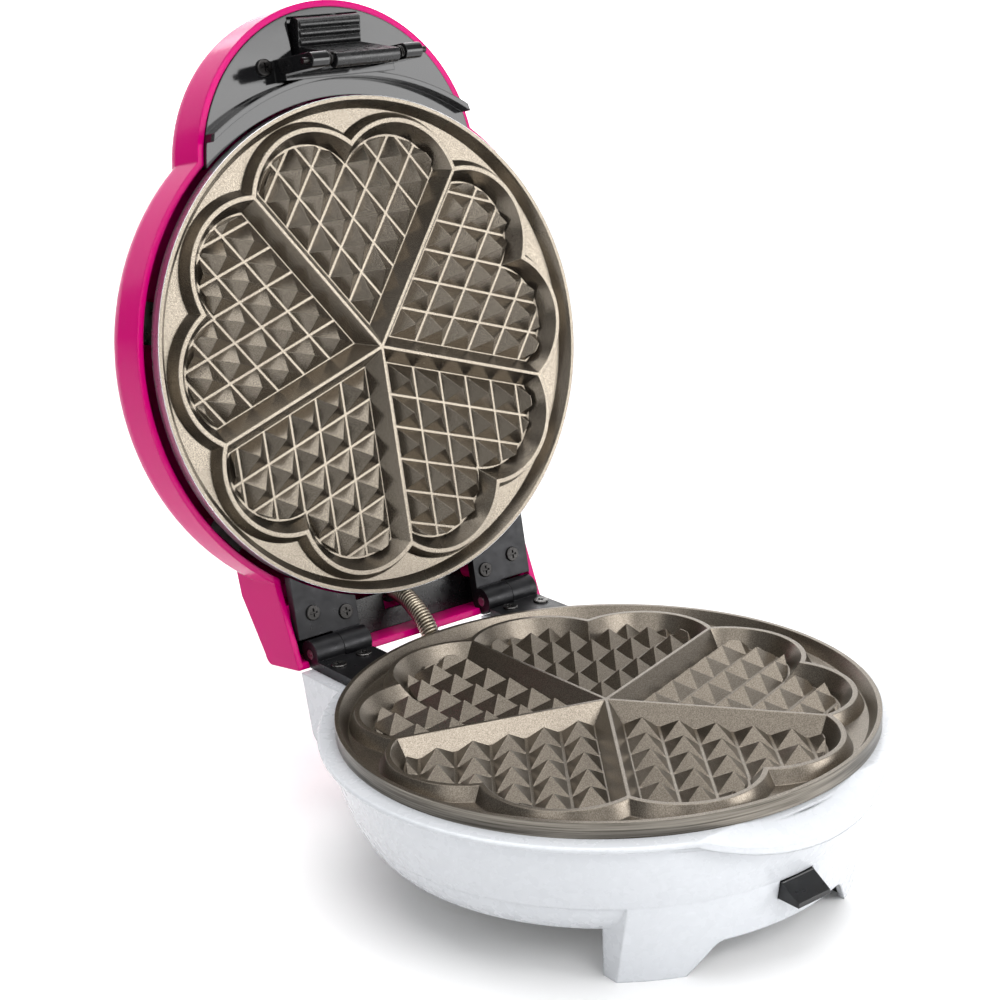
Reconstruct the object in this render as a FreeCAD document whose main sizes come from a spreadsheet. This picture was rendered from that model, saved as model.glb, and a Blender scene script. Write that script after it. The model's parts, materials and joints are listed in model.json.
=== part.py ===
"""Waffle maker for five hearts: hinged lid, latch lever and base, in millimetres.

Frame: +Z up, -Y to the front (latch side), +X to the right.  The origin lies on the table, under the
hub of the round plates.  The lid is built closed and then placed open about the hinge axis.
"""
import FreeCAD, Part
import math
import os

import Sketcher
from FreeCAD import Placement, Rotation, Vector

doc = FreeCAD.newDocument("WaffleMaker")

# ---------------------------------------------------------------- driving dimensions

DIMENSIONS = {
    # cast plates
    "plate_top": 62.0,            # height of the lower plate's ribs above the table
    "plate_radius": 98.0,
    "plate_band": 5.5,            # visible side of each plate
    "plate_neck_radius": 90.0,    # part of the casting below the band
    "plate_depth": 10.0,
    "rim_width": 1.6,
    "land_depth": 4.8,
    "cell_depth": 6.8,
    "closing_gap": 0.4,           # between the ribs of the closed halves
    "lobe_orbit": 61.2,           # radius on which the ten round lobes are centred
    "lobe_radius": 28.7,
    "rib_half": 0.6,
    "ridge_half": 0.9,
    "cell_foot": 5.0,             # from a rib's centre line to the foot of its wall, in a cell
    "land_foot": 3.3,             # the same, on the outer land
    "pyramid_pitch": 13.2,
    "pyramid_height": 5.8,
    "valley": 1.0,
    # hinge
    "hinge_back": 111.8,
    "hinge_height": 62.2,
    "open_angle": 99.12,
    "knuckle_radius": 5.6,
    "pin_radius": 2.0,
    "running_fit": 0.05,
    "leaf_inner": 29.3,
    "leaf_outer": 54.8,
    "leaf_gap": 1.7,              # from the hinge axis to the face of either leaf
    "leaf_thickness": 4.0,
    # base housing
    "flange_radius": 104.7,
    "flange_height": 56.5,
    "wall": 2.5,
    "bowl_step": 29.5,
    "bowl_floor": 18.0,
    "front_block": 57.5,          # half width of the front skirt
    "ear_half": 60.0,
    "rear_face": 110.5,
    "foot_height": 3.0,
    # lid housing
    "lid_rim": 70.2,
    "lid_radius": 102.5,
    "lid_lobe_radius": 64.5,
    "lid_lobe_centre": 71.0,
    "lid_shoulder": 15.0,
    "lid_crown": 105.0,
    # latch
    "latch_pin_front": 111.3,
    "latch_pin_height": 44.3,
    "latch_pin_radius": 1.2,
    "latch_half": 14.3,
    "latch_reach": 22.6,          # from the pin to the foot's catching face
    "latch_lean": 12.4,           # how far the folded lever leans from the lid's normal
    # electrics
    "heater_orbit": 62.0,
    "heater_radius": 4.0,
    "conduit_radius": 3.9,
}

# places that repeat, in millimetres and degrees from the front
HEART_ANGLES = [72.0 * k for k in range(5)]
RIB_SPREAD = 36.0
PLATE_SCREW_ANGLES = (60.0, 180.0, 300.0)
COVER_SCREW_ANGLES = (45.0, 135.0, 225.0, 315.0)
COVER_SCREW_ORBIT = 69.0
BASE_TAB_ANGLES = (60.0, 162.0, 198.0, 300.0)
LID_TAB_ANGLES = (75.0, 285.0, 130.0, 230.0)
LEAF_SCREWS = {"base": ((50.3, 98.5), (36.6, 101.6)), "lid": ((49.6, 96.4), (34.8, 99.6))}
CONDUIT_X = -2.0
CONDUIT_BACK = 100.5
LAMP_X = (-9.0, 9.0)
LAMP_FRONT = 70.0
BEZEL_SCREW_X = 29.5

sheet = doc.addObject("Spreadsheet::Sheet", "Dims")
for row, (alias, number) in enumerate(DIMENSIONS.items(), start=1):
    sheet.set("A%d" % row, alias)
    sheet.set("B%d" % row, str(number))
    sheet.setAlias("B%d" % row, alias)
doc.recompute()


class Size:
    """A length that remembers the sheet formula it comes from."""

    def __init__(self, value, formula):
        self.value = value
        self.formula = formula

    def _with(self, other, sign, combine):
        value, formula = parts_of(other)
        return Size(combine(self.value, value), "(%s %s %s)" % (self.formula, sign, formula))

    def __add__(self, other):
        return self._with(other, "+", lambda a, b: a + b)

    def __sub__(self, other):
        return self._with(other, "-", lambda a, b: a - b)

    def __mul__(self, other):
        return self._with(other, "*", lambda a, b: a * b)

    def __truediv__(self, other):
        return self._with(other, "/", lambda a, b: a / b)

    def __neg__(self):
        return Size(-self.value, "(-1 * %s)" % self.formula)

    __radd__ = __add__
    __rmul__ = __mul__

    def __rsub__(self, other):
        return (-self) + other


def parts_of(size):
    """Value and formula of a Size or of a plain number."""
    if isinstance(size, Size):
        return size.value, size.formula
    return float(size), "%.6g" % size


def dim(alias):
    return Size(float(sheet.get(alias)), "Dims." + alias)


def num(alias):
    return float(sheet.get(alias))


def bind(obj, prop, size):
    """Set a property, and tie it to the sheet where the size comes from there."""
    value, formula = parts_of(size)
    setattr(obj, prop, value)
    if isinstance(size, Size):
        obj.setExpression(prop, formula)


# ---------------------------------------------------------------- building helpers

UPRIGHT_XZ = Rotation(Vector(1, 0, 0), 90)
UPRIGHT_YZ = Rotation(Vector(1, 1, 1), 120)
FACING = {"XY": Rotation(), "XZ": UPRIGHT_XZ, "YZ": UPRIGHT_YZ}

LID_OPEN = Placement(Vector(0, 0, 0), Rotation(Vector(1, 0, 0), -num("open_angle")),
                     Vector(0, num("hinge_back"), num("hinge_height")))

nodes = {}


def node(name, obj, placement=None):
    """Register a finished sub-part; a lid part is given the open placement."""
    obj.Label = name
    if placement is not None:
        obj.Placement = placement * obj.Placement
    nodes[name] = obj
    return obj


def pin_coordinate(sketch, kind, geo, pos, size):
    value, formula = parts_of(size)
    if abs(value) < 1e-9:
        axis = -2 if kind == "DistanceX" else -1
        sketch.addConstraint(Sketcher.Constraint("PointOnObject", geo, pos, axis))
        return
    index = sketch.addConstraint(Sketcher.Constraint(kind, -1, 1, geo, pos, value))
    if isinstance(size, Size):
        sketch.setExpression("Constraints[%d]" % index, formula)


def draw(sketch, outline):
    """Draw a closed outline.  Each entry is (x, y), or (x, y, mid_x, mid_y) for an arc that ends there."""
    corners = [Vector(parts_of(p[0])[0], parts_of(p[1])[0], 0) for p in outline]
    first = None
    last = None
    for index, entry in enumerate(outline):
        start, end = corners[index - 1], corners[index]
        if len(entry) == 4:
            middle = Vector(parts_of(entry[2])[0], parts_of(entry[3])[0], 0)
            edge = Part.Arc(start, middle, end)
            turn = (middle - start).cross(end - middle).z
            on_axis = abs(end.x) < 1e-9
        else:
            edge = Part.LineSegment(start, end)
            turn = 1.0
            on_axis = False
        geo = sketch.addGeometry(edge, False)
        tail, head = (1, 2) if turn > 0 else (2, 1)
        if last is not None:
            sketch.addConstraint(Sketcher.Constraint("Coincident", last[0], last[1], geo, tail))
        else:
            first = (geo, tail)
        last = (geo, head)
        if on_axis:
            sketch.addConstraint(Sketcher.Constraint("PointOnObject", geo, 3, -2))
        pin_coordinate(sketch, "DistanceX", geo, head, entry[0])
        pin_coordinate(sketch, "DistanceY", geo, head, entry[1])
    sketch.addConstraint(Sketcher.Constraint("Coincident", last[0], last[1], first[0], first[1]))


def ring(sketch, radius, x=0.0, y=0.0):
    """Draw a circle with a bound radius."""
    value, formula = parts_of(radius)
    geo = sketch.addGeometry(Part.Circle(Vector(x, y, 0), Vector(0, 0, 1), value), False)
    pin_coordinate(sketch, "DistanceX", geo, 3, x)
    pin_coordinate(sketch, "DistanceY", geo, 3, y)
    index = sketch.addConstraint(Sketcher.Constraint("Radius", geo, value))
    if isinstance(radius, Size):
        sketch.setExpression("Constraints[%d]" % index, formula)


def free_sketch(name, plane, origin, outline):
    sketch = doc.addObject("Sketcher::SketchObject", name)
    sketch.Placement = Placement(origin, FACING[plane])
    draw(sketch, outline)
    return sketch


def turned(name, outline, axis_y=0.0, angle=360.0):
    """Solid of revolution about a vertical axis; the outline is (radius, height)."""
    sketch = free_sketch(name + "_profile", "XZ", Vector(0, axis_y, 0), outline)
    solid = doc.addObject("Part::Revolution", name)
    solid.Source = sketch
    solid.Axis = Vector(0, 0, 1)
    solid.Base = Vector(0, axis_y, 0)
    solid.Angle = angle
    solid.Solid = True
    return solid


def extruded(name, plane, outline, start, length):
    """Prism on an outline: along Y for XZ, along X for YZ, along Z for XY."""
    direction = {"XY": Vector(0, 0, 1), "XZ": Vector(0, 1, 0), "YZ": Vector(1, 0, 0)}[plane]
    sketch = free_sketch(name + "_profile", plane, direction * start, outline)
    solid = doc.addObject("Part::Extrusion", name)
    solid.Base = sketch
    solid.DirMode = "Custom"
    solid.Dir = direction
    solid.Solid = True
    bind(solid, "LengthFwd", length)
    return solid


def block(name, corner, sizes):
    """Box from its lowest corner."""
    solid = doc.addObject("Part::Box", name)
    for prop, size in zip(("Length", "Width", "Height"), sizes):
        bind(solid, prop, size)
    solid.Placement = Placement(Vector(*[parts_of(c)[0] for c in corner]), Rotation())
    return solid


def rod(name, radius, length, base, direction=(0, 0, 1)):
    """Cylinder from its base centre along a direction."""
    solid = doc.addObject("Part::Cylinder", name)
    bind(solid, "Radius", radius)
    bind(solid, "Height", length)
    solid.Placement = Placement(Vector(*base), Rotation(Vector(0, 0, 1), Vector(*direction)))
    return solid


def cone(name, low_radius, high_radius, height, base):
    solid = doc.addObject("Part::Cone", name)
    bind(solid, "Radius1", low_radius)
    bind(solid, "Radius2", high_radius)
    bind(solid, "Height", height)
    solid.Placement = Placement(Vector(*base), Rotation())
    return solid


def fused(name, shapes):
    solid = doc.addObject("Part::MultiFuse", name)
    solid.Shapes = shapes
    return solid


def common(name, shapes):
    solid = doc.addObject("Part::MultiCommon", name)
    solid.Shapes = shapes
    return solid


def cut(name, base, tool):
    solid = doc.addObject("Part::Cut", name)
    solid.Base = base
    solid.Tool = tool
    return solid


def body_plane(body, role):
    return [f for f in body.Origin.OriginFeatures if f.Role == role][0]


def body_sketch(body, name, role, offset=0.0):
    """Sketch on one of the body's own origin planes, moved along the plane's normal."""
    sketch = body.newObject("Sketcher::SketchObject", name)
    sketch.AttachmentSupport = [(body_plane(body, role), "")]
    sketch.MapMode = "FlatFace"
    sketch.AttachmentOffset = Placement(Vector(0, 0, offset), Rotation())
    return sketch


def pad(body, name, sketch, length, reverse=False):
    feature = body.newObject("PartDesign::Pad", name)
    feature.Profile = sketch
    bind(feature, "Length", length)
    feature.Reversed = reverse
    body.Tip = feature
    return feature


def pocket(body, name, sketch, length, reverse=False):
    """Cut along a sketch, and make sure that it takes something away."""
    doc.recompute()
    before = body.Shape.Volume
    feature = body.newObject("PartDesign::Pocket", name)
    feature.Profile = sketch
    bind(feature, "Length", length)
    feature.Reversed = reverse
    body.Tip = feature
    doc.recompute()
    if body.Shape.Volume > before - 1e-3:
        raise RuntimeError("%s cuts nothing" % name)
    return feature


def revolved(body, name, outline):
    """Revolution about the body's own Z axis; the outline is (radius, height)."""
    sketch = body_sketch(body, name + "_profile", "XZ_Plane")
    draw(sketch, outline)
    feature = body.newObject("PartDesign::Revolution", name)
    feature.Profile = sketch
    feature.ReferenceAxis = (sketch, ["V_Axis"])
    feature.Angle = 360.0
    body.Tip = feature
    return feature


def new_body(name):
    return doc.addObject("PartDesign::Body", name + "_body")


def shaped(name, shape):
    """A feature whose shape is computed, where no sketch or primitive fits."""
    feature = doc.addObject("Part::Feature", name)
    feature.Shape = shape
    return feature


# ---------------------------------------------------------------- cast plates


def spoke(angle, radius, height=0.0):
    """Point at an angle from the front, counted towards +X."""
    turn = math.radians(angle)
    return Vector(radius * math.sin(turn), -radius * math.cos(turn), height)


def tapered_sector(top, bottom, reach):
    """Wedge between two ribs, whose walls lean: top and bottom are (inset from the rib line, height)."""
    wires = []
    for inset, height in (bottom, top):
        apex = spoke(0.0, inset / math.sin(math.radians(RIB_SPREAD)), height)
        corners = [apex] + [apex + spoke(side, reach) for side in (-RIB_SPREAD, RIB_SPREAD)]
        wires.append(Part.makePolygon(corners + [apex]))
    return Part.makeLoft(wires, True, True)


def heart_cell():
    """The front heart's hollow: two round lobes and the wedge between two ribs."""
    above = 0.5
    floor = -num("cell_depth")
    lean = (num("cell_foot") - num("rib_half")) / num("cell_depth")
    rib_top = num("rib_half") - lean * above
    wall_top = num("lobe_radius") - num("ridge_half") + lean * above
    wall_foot = num("lobe_radius") - num("cell_foot")
    sector = tapered_sector((rib_top, above), (num("cell_foot"), floor), 120.0)
    lobes = [spoke(side, num("lobe_orbit"), floor) for side in (-RIB_SPREAD / 2, RIB_SPREAD / 2)]
    rounds = [Part.makeCone(wall_foot, wall_top, above - floor, lobe) for lobe in lobes]
    hub = [Vector(0, 0, floor), spoke(-RIB_SPREAD, num("lobe_orbit"), floor)] + lobes
    hub += [spoke(RIB_SPREAD, num("lobe_orbit"), floor), Vector(0, 0, floor)]
    wedge = Part.Face(Part.makePolygon(hub)).extrude(Vector(0, 0, above - floor))
    return rounds[0].fuse([rounds[1], wedge]).common(sector)


def pyramid(corner, along, across, height, skirt):
    """Four-sided pyramid on a rhombus, with a skirt that sinks into the floor."""
    down = Vector(0, 0, -skirt)
    base = [corner, corner + along, corner + along + across, corner + across]
    tip = corner + (along + across) * 0.5 + Vector(0, 0, height)
    faces = [Part.Face(Part.makePolygon([p + down for p in base] + [base[0] + down]))]
    for index, start in enumerate(base):
        end = base[(index + 1) % 4]
        faces.append(Part.Face(Part.makePolygon([start, end, tip, start])))
        faces.append(Part.Face(Part.makePolygon([start + down, end + down, end, start, start + down])))
    solid = Part.Solid(Part.Shell(faces))
    return solid if solid.Volume > 0 else solid.reversed()


def heart_floor(inset):
    """Prism over one heart's floor, drawn in by an inset from the foot of its round walls."""
    low = -num("cell_depth") - 1.0
    tall = num("pyramid_height") + 2.0
    radius = num("lobe_radius") - num("cell_foot") - inset
    lobes = [spoke(side, num("lobe_orbit"), low) for side in (-RIB_SPREAD / 2, RIB_SPREAD / 2)]
    rounds = [Part.makeCylinder(radius, tall, lobe) for lobe in lobes]
    outline = [Vector(0, 0, low), spoke(-RIB_SPREAD, num("lobe_orbit"), low)] + lobes
    outline += [spoke(RIB_SPREAD, num("lobe_orbit"), low), Vector(0, 0, low)]
    wedge = Part.Face(Part.makePolygon(outline)).extrude(Vector(0, 0, tall))
    return rounds[0].fuse([rounds[1], wedge])


def heart_pyramids():
    """Pyramids of the front heart, in rows parallel to its two ribs; the outer ones are cut by the border."""
    floor = -num("cell_depth")
    pitch = num("pyramid_pitch")
    gap = num("valley") / math.sin(math.radians(2 * RIB_SPREAD))
    side = pitch - gap
    left, right = spoke(-RIB_SPREAD, 1.0), spoke(RIB_SPREAD, 1.0)
    apex = spoke(0.0, num("cell_foot") / math.sin(math.radians(RIB_SPREAD)), floor)
    border = heart_floor(num("valley"))
    solids = []
    for row in range(6):
        for column in range(6):
            corner = apex + left * (row * pitch + gap / 2) + right * (column * pitch + gap / 2)
            whole = pyramid(corner, left * side, right * side, num("pyramid_height"), 0.3)
            for piece in whole.common(border).Solids:
                if piece.Volume > 3.0:
                    solids.append(piece)
    return solids


def round_the_hub(shapes):
    """Copies of the front heart's shapes in all five hearts."""
    copies = []
    for angle in HEART_ANGLES:
        for shape in shapes:
            copy = shape.copy()
            copy.rotate(Vector(0, 0, 0), Vector(0, 0, 1), angle)
            copies.append(copy)
    return copies


def waffle_plate():
    """Casting with its ribs at z = 0 and its body below."""
    depth = num("plate_depth")
    land = -num("land_depth")
    ring_outer = num("plate_radius")
    ring_inner = ring_outer - num("rim_width")
    band = Part.makeCylinder(ring_outer, num("plate_band"), Vector(0, 0, -num("plate_band")))
    neck = Part.makeCylinder(num("plate_neck_radius"), depth - num("plate_band"), Vector(0, 0, -depth))
    moat = Part.makeCone(ring_inner - 3.0, ring_inner + 0.3, 0.5 - land, Vector(0, 0, land))
    rosette = [Part.makeCylinder(num("lobe_orbit"), -land + 1.0, Vector(0, 0, land - 1.0))]
    foot = num("lobe_radius") + num("land_foot")
    crest = num("lobe_radius") + num("ridge_half")
    for index in range(10):
        centre = spoke(RIB_SPREAD / 2 + RIB_SPREAD * index, num("lobe_orbit"), land)
        rosette.append(Part.makeCone(foot, crest, -land, centre))
    ridges = rosette[0].fuse(rosette[1:])
    blank = band.fuse(neck).cut(moat).fuse(ridges)
    cells = round_the_hub([heart_cell()])
    bosses = [Part.makeCylinder(5.0, 6.0, spoke(a, 78.0, -depth - 6.0)) for a in PLATE_SCREW_ANGLES]
    threads = [Part.makeCylinder(1.6, 9.0, spoke(a, 78.0, -depth - 6.0)) for a in PLATE_SCREW_ANGLES]
    hollow = blank.cut(cells)
    return hollow.fuse(round_the_hub(heart_pyramids()) + bosses).cut(threads).removeSplitter()


LOWER = Placement(Vector(0, 0, num("plate_top")), Rotation())
UPPER = LID_OPEN * Placement(Vector(0, 0, num("plate_top") + num("closing_gap")),
                             Rotation(Vector(0, 1, 0), 180))


def build_plates():
    casting = waffle_plate()
    node("lower_plate", shaped("LowerPlate", casting), LOWER)
    node("upper_plate", shaped("UpperPlate", casting), UPPER)


# ---------------------------------------------------------------- fasteners


def cross_recess(radius, head_top):
    """Cross slot of a screw head, from the head's top down."""
    depth = 0.75 * head_top
    width = 0.7
    reach = radius * 1.1
    arms = [Part.makeBox(x, y, depth + 0.2, Vector(-x / 2, -y / 2, head_top - depth))
            for x, y in ((reach, width), (width, reach))]
    return arms[0].fuse(arms[1])


def pan_screw(head_radius, head_height, shank_radius, length):
    """Screw with its head's underside at z = 0 and its shank below."""
    head = Part.makeCylinder(head_radius, head_height)
    rim = [edge for edge in head.Edges if edge.Curve.TypeId == "Part::GeomCircle"
           and edge.CenterOfMass.z > head_height / 2]
    head = head.makeFillet(head_height * 0.45, rim)
    shank = Part.makeCylinder(shank_radius, length, Vector(0, 0, -length))
    return head.fuse(shank).cut(cross_recess(head_radius, head_height)).removeSplitter()


def screw_group(name, screw, places, placement=None):
    """Identical screws share one node, each a solid of its own."""
    solids = []
    for place in places:
        copy = screw.copy()
        copy.Placement = place
        solids.append(copy)
    return node(name, shaped(name + "_set", Part.makeCompound(solids)), placement)


UPSIDE_DOWN = Rotation(Vector(1, 0, 0), 180)


# ---------------------------------------------------------------- base housing


def build_base_shell():
    wall = dim("wall")
    flange = dim("flange_radius")
    top = dim("flange_height")
    step = dim("bowl_step")
    floor = dim("bowl_floor")
    outer = turned("BowlOuter", [
        (0, top), (0, floor), (85.0, floor), (87.4, floor + 1.0, 86.5, 18.3), (93.2, step - 0.4, 91.2, 24.0),
        (94.2, step), (101.2, top - 2.9, 98.6, 42.5), (flange - 1.6, top - 2.6), (flange - 0.2, top - 1.8),
        (flange, top - 1.0), (flange - 0.9, top, 104.4, 56.25)])
    core = turned("BowlCore", [
        (0, top - wall), (0, floor + wall), (83.5, floor + wall), (91.0, step + 1.0, 88.8, 24.5),
        (98.3, top - 4.0, 96.0, 42.5), (98.3, top - wall)])
    opening = rod("PlateOpening", 91.5, 10.0, (0, 0, num("flange_height") - 5.0))
    # front lobe: a sloping lip in two steps, over a cove that runs down into the skirt
    front_y = -25.7
    lips = []
    for name, radius, depth in (("FrontLip", 81.8, 2.4), ("FrontLipUnder", 79.6, 4.6)):
        band = extruded(name + "Band", "YZ", [
            (-85.0, top), (-94.0, top), (-115.0, top - 12.6), (-115.0, top - (12.6 + depth)),
            (-94.0, top - depth), (-85.0, top - depth)], -60.0, 120.0)
        lips.append(common(name, [band, rod(name + "Disc", radius, 40.0, (0, front_y, 20.0))]))
    cove = cone("FrontCove", 66.5, 77.0, 20.5, (0, front_y, 29.5))
    cove_core = cone("FrontCoveCore", 63.0, 73.5, 19.0, (0, front_y, 28.0))
    skirt_cone = cone("SkirtCone", 89.3, 94.2, 30.0, (0, 0, 0))
    skirt_box = block("SkirtBox", (-num("front_block"), -100.0, 0),
                      (dim("front_block") * 2, 38.0, 30.0))
    skirt = common("Skirt", [skirt_cone, skirt_box])
    inner_cone = cone("SkirtInnerCone", 86.6, 89.6, 19.0, (0, 0, -1.0))
    inner_box = block("SkirtInnerBox", (-num("front_block") + 2.5, -100.0, -1.0),
                      (dim("front_block") * 2 - 5.0, 35.5, 19.0))
    skirt_core = common("SkirtCore", [inner_cone, inner_box])
    arch = extruded("FrontArch", "XZ", [
        (-38.8, -1.0), (38.8, -1.0), (30.5, 9.6), (25.5, 12.0, 28.4, 11.4), (-25.5, 12.0),
        (-30.5, 9.6, -28.4, 11.4)], -100.0, 50.0)
    slope = block("LipSlope", (-90.0, -60.0, 0.0), (180.0, 60.0, 30.0))
    slope.Placement = Placement(Vector(-90.0, -94.0, num("flange_height")),
                                Rotation(Vector(1, 0, 0), 31.0)) * \
        Placement(Vector(0, -60.0, 0), Rotation())
    # rear block with an ear on each side, lower in the middle
    rear = extruded("RearBlock", "YZ", [
        (60.0, top), (60.0, 30.5), (98.0, 29.5), (106.0, 35.0, 104.3, 31.0), (dim("rear_face"), top)],
        -num("ear_half"), dim("ear_half") * 2)
    rear_core = block("RearCore", (-57.5, 70.0, 33.0), (115.0, 33.6, 10.0))
    rear_side_cores = [block("RearSideCore%d" % index, (x, 70.0, 33.0), (27.0, 34.0, 20.0))
                       for index, x in enumerate((-57.5, 30.5))]
    dip = block("RearDip", (-28.0, 100.5, 46.0), (56.0, 20.0, 20.0))
    conduit_well = rod("ConduitWell", 8.2, 14.0, (CONDUIT_X, CONDUIT_BACK, 46.0))
    legs = [block("RearLeg%d" % index, (x, 84.0, dim("foot_height") - 2.0), (20.0, 20.0, 31.0))
            for index, x in enumerate((-42.0, 22.0))]
    leg_cores = [block("RearLegCore%d" % index, (x, 86.5, -1.0), (15.0, 15.0, 28.0))
                 for index, x in enumerate((-39.5, 24.5))]
    conduit_hole = rod("ConduitHole", 5.6, 12.0, (CONDUIT_X, CONDUIT_BACK, 38.5))
    catch_hole = block("CatchHole", (-7.7, -96.0, 21.8), (15.4, 12.0, 7.2))
    gland_hole = rod("GlandHole", 5.0, 12.0, (40.0, 103.0, 40.5), (0, 1, 0))
    skirt_gap = block("SkirtGap", (-38.0, -66.0, -1.0), (76.0, 8.0, 18.9))
    cover_bosses = [rod("CoverBoss%d" % index, 3.2, 6.5, tuple(spoke(a, COVER_SCREW_ORBIT, 19.0)))
                    for index, a in enumerate(COVER_SCREW_ANGLES)]
    screw_holes = [rod("CoverDrill%d" % index, 1.3, 8.0, tuple(spoke(a, COVER_SCREW_ORBIT, 17.0)))
                   for index, a in enumerate(COVER_SCREW_ANGLES)]
    cover_hole = rod("CoverOpening", 65.4, 6.0, (0, 0, 16.0))
    leaf_holes = [rod("LeafHole%d" % index, 1.3, 9.0, (x, y, num("flange_height") - 8.0))
                  for index, (x, y) in enumerate(leaf_screw_spots("base"))]
    solid = fused("BaseOuter", [outer, cove, skirt, rear] + lips + legs)
    hollow = fused("BaseHollow", [core, cove_core, opening, skirt_core, rear_core, dip, arch, slope,
                                  skirt_gap, conduit_hole, conduit_well, catch_hole, gland_hole, cover_hole]
                   + rear_side_cores + leg_cores)
    housing = cut("BaseHousing", solid, hollow)
    # bosses inside, for the cover, the hinge leaves and the plate's carrier
    leaf_bosses = [rod("LeafBoss%d" % index, 3.6, 9.0, (x, y, num("flange_height") - 9.5))
                   for index, (x, y) in enumerate(leaf_screw_spots("base"))]
    pads = [rod("CarrierPad%d" % index, 3.5, 5.0, tuple(spoke(a, 94.0, 39.8)))
            for index, a in enumerate(BASE_TAB_ANGLES)]
    body = fused("BaseBody", [housing] + leaf_bosses + pads + cover_bosses)
    drills = fused("BaseDrills", screw_holes + leaf_holes)
    node("base_shell", cut("BaseShell", body, drills))


def leaf_screw_spots(half):
    """Centres of the two screws in each of the half's hinge leaves, seen from above."""
    return [(side * x, y) for side in (-1, 1) for x, y in LEAF_SCREWS[half]]


def build_base_cover():
    """Round bottom cover with rings of vent slots."""
    body = new_body("base_cover")
    revolved(body, "CoverDisc", [(0, 16.0), (72.2, 16.0), (72.2, 17.8), (65.0, 17.8), (65.0, 19.6), (0, 19.6)])
    holes = body_sketch(body, "CoverHoles", "XY_Plane", 15.0)
    for angle in COVER_SCREW_ANGLES:
        place = spoke(angle, COVER_SCREW_ORBIT)
        ring(holes, 1.7, place.x, place.y)
    pocket(body, "CoverHolePocket", holes, 4.0, reverse=True)
    slots = body_sketch(body, "CoverSlots", "XY_Plane", 15.0)
    for index in range(5):
        low = -30.0 + 12.0 * index
        draw(slots, [(-30.0, low, -32.0, low + 2.0), (30.0, low), (30.0, low + 4.0, 32.0, low + 2.0),
                     (-30.0, low + 4.0)])
    pocket(body, "CoverSlotPocket", slots, 6.0, reverse=True)
    node("base_cover", body)
    head_down = [Placement(spoke(a, COVER_SCREW_ORBIT, 16.0), UPSIDE_DOWN) for a in COVER_SCREW_ANGLES]
    screw_group("cover_screws", pan_screw(3.0, 1.8, 1.3, 7.5), head_down)


def build_feet():
    """Four rubber pads, plugged into the hollow legs."""
    front = []
    for side in (-1, 1):
        wedge = Part.makeCone(86.3, 87.1, 5.0, Vector(0, 0, 0))
        low = min(side * 39.5, side * 54.8)
        front.append(wedge.common(Part.makeBox(15.3, 33.2, 5.0, Vector(low, -98.0, 0.0))))
    rear = [Part.makeBox(14.8, 14.8, 6.0, Vector(x, 86.6, 0.0)) for x in (-39.4, 24.6)]
    node("foot_pads", shaped("FootPadSet", Part.makeCompound(front + rear)))


def build_catch():
    """Wedge catch: sloped above, flat below, with a tongue through the wall."""
    body = new_body("front_catch")
    side = body_sketch(body, "CatchSide", "YZ_Plane", -7.5)
    draw(side, [(-87.4, 28.6), (-94.4, 28.6), (-94.6, 28.2), (-101.8, 23.6), (-102.0, 22.2), (-101.8, 22.0),
                (-87.4, 22.0)])
    pad(body, "CatchWedge", side, 15.0)
    flange = body_sketch(body, "CatchFlange", "XZ_Plane", 86.1)
    draw(flange, [(-11.0, 24.4), (11.0, 24.4), (11.0, 30.6), (-11.0, 30.6)])
    pad(body, "CatchFlangePad", flange, 1.3)
    node("front_catch", body)


# ---------------------------------------------------------------- parts shared by both halves


def build_heater(name, placement):
    """Tubular heater: most of a ring, with both ends turned away from the plate."""
    level = -num("plate_depth") - num("heater_radius")
    tube = Part.makeTorus(num("heater_orbit"), num("heater_radius"), Vector(0, 0, level), Vector(0, 0, 1),
                          0, 360, 330)
    tube.rotate(Vector(0, 0, 0), Vector(0, 0, 1), 105)
    ends = []
    for angle in (165.0, 195.0):
        ends.append(Part.makeSphere(num("heater_radius"), spoke(angle, num("heater_orbit"), level)))
        ends.append(Part.makeCylinder(num("heater_radius"), 8.0, spoke(angle, num("heater_orbit"), level - 8.0)))
        ends.append(Part.makeCylinder(1.2, 5.0, spoke(angle, num("heater_orbit"), level - 13.0)))
    node(name, shaped(name + "_shape", tube.fuse(ends).removeSplitter()), placement)


def build_carrier(name, placement, tab_angles, tab_reach):
    """Sheet ring behind the plate, with tabs that reach under the housing."""
    body = new_body(name)
    level = -num("plate_depth") - 7.2
    plan = body_sketch(body, name + "_plan", "XY_Plane", level)
    ring(plan, 86.0)
    ring(plan, 69.0)
    pad(body, name + "_ring", plan, 1.2)
    for index, angle in enumerate(tab_angles):
        tab = body_sketch(body, "%s_tab%d" % (name, index), "XY_Plane", level)
        corners = []
        for radius, side in ((84.0, -8.0), (tab_reach, -8.0), (tab_reach, 8.0), (84.0, 8.0)):
            corner = spoke(angle, radius) + spoke(angle + 90.0, side)
            corners.append((corner.x, corner.y))
        draw(tab, corners)
        pad(body, "%s_tab%d_pad" % (name, index), tab, 1.2)
    holes = body_sketch(body, name + "_holes", "XY_Plane", level - 1.0)
    for angle in PLATE_SCREW_ANGLES:
        place = spoke(angle, 78.0)
        ring(holes, 1.8, place.x, place.y)
    pocket(body, name + "_drill", holes, 4.0, reverse=True)
    node(name, body, placement)


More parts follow.
